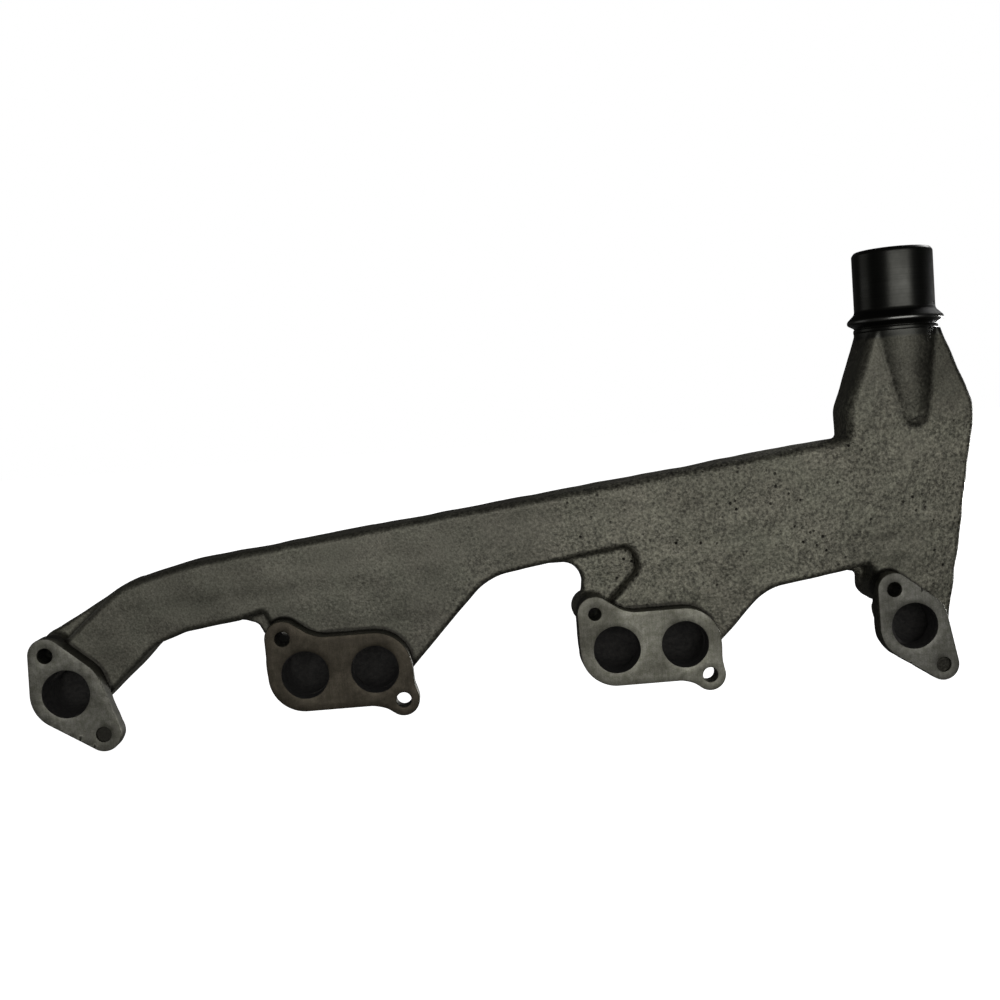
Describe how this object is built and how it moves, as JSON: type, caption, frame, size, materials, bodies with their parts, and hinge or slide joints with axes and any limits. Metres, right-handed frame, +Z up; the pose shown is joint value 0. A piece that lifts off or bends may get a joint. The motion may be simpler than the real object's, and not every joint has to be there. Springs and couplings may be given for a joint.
{
  "type": "exhaust manifold",
  "caption": "Cast-iron exhaust manifold for an in-line engine: port flanges feed a rising log that ends in a collector with an upright round outlet.",
  "frame": {"origin": "on the machined face of the double flange 2-3, midway between ports 2 and 3, on the port centre line", "axes": "+X along the engine towards the outlet end, +Y away from the cylinder head, +Z up along the outlet"},
  "size_m": [0.7616, 0.0778, 0.3493],
  "materials": {
    "cast_body": "sand cast, rough",
    "machined_face": "cast, with a ground face",
    "turned_outlet": "turned, satin"
  },
  "bodies": {
    "root": {"port_flange_1": "machined_face", "port_flange_2_3": "machined_face", "port_flange_4_5": "machined_face", "port_flange_6": "machined_face", "front_elbow": "cast_body", "log_front": "cast_body", "log_rear": "cast_body", "runner_2_3": "cast_body", "runner_4_5": "cast_body", "runner_6": "cast_body", "collector": "cast_body", "outlet_hood": "cast_body", "outlet_neck": "cast_body", "bolt_boss_1": "cast_body", "bolt_boss_2_3": "cast_body", "bolt_boss_4_5": "cast_body", "bolt_boss_6": "cast_body", "outlet_bead": "turned_outlet", "outlet_spigot": "turned_outlet"}
  },
  "joints": []
}
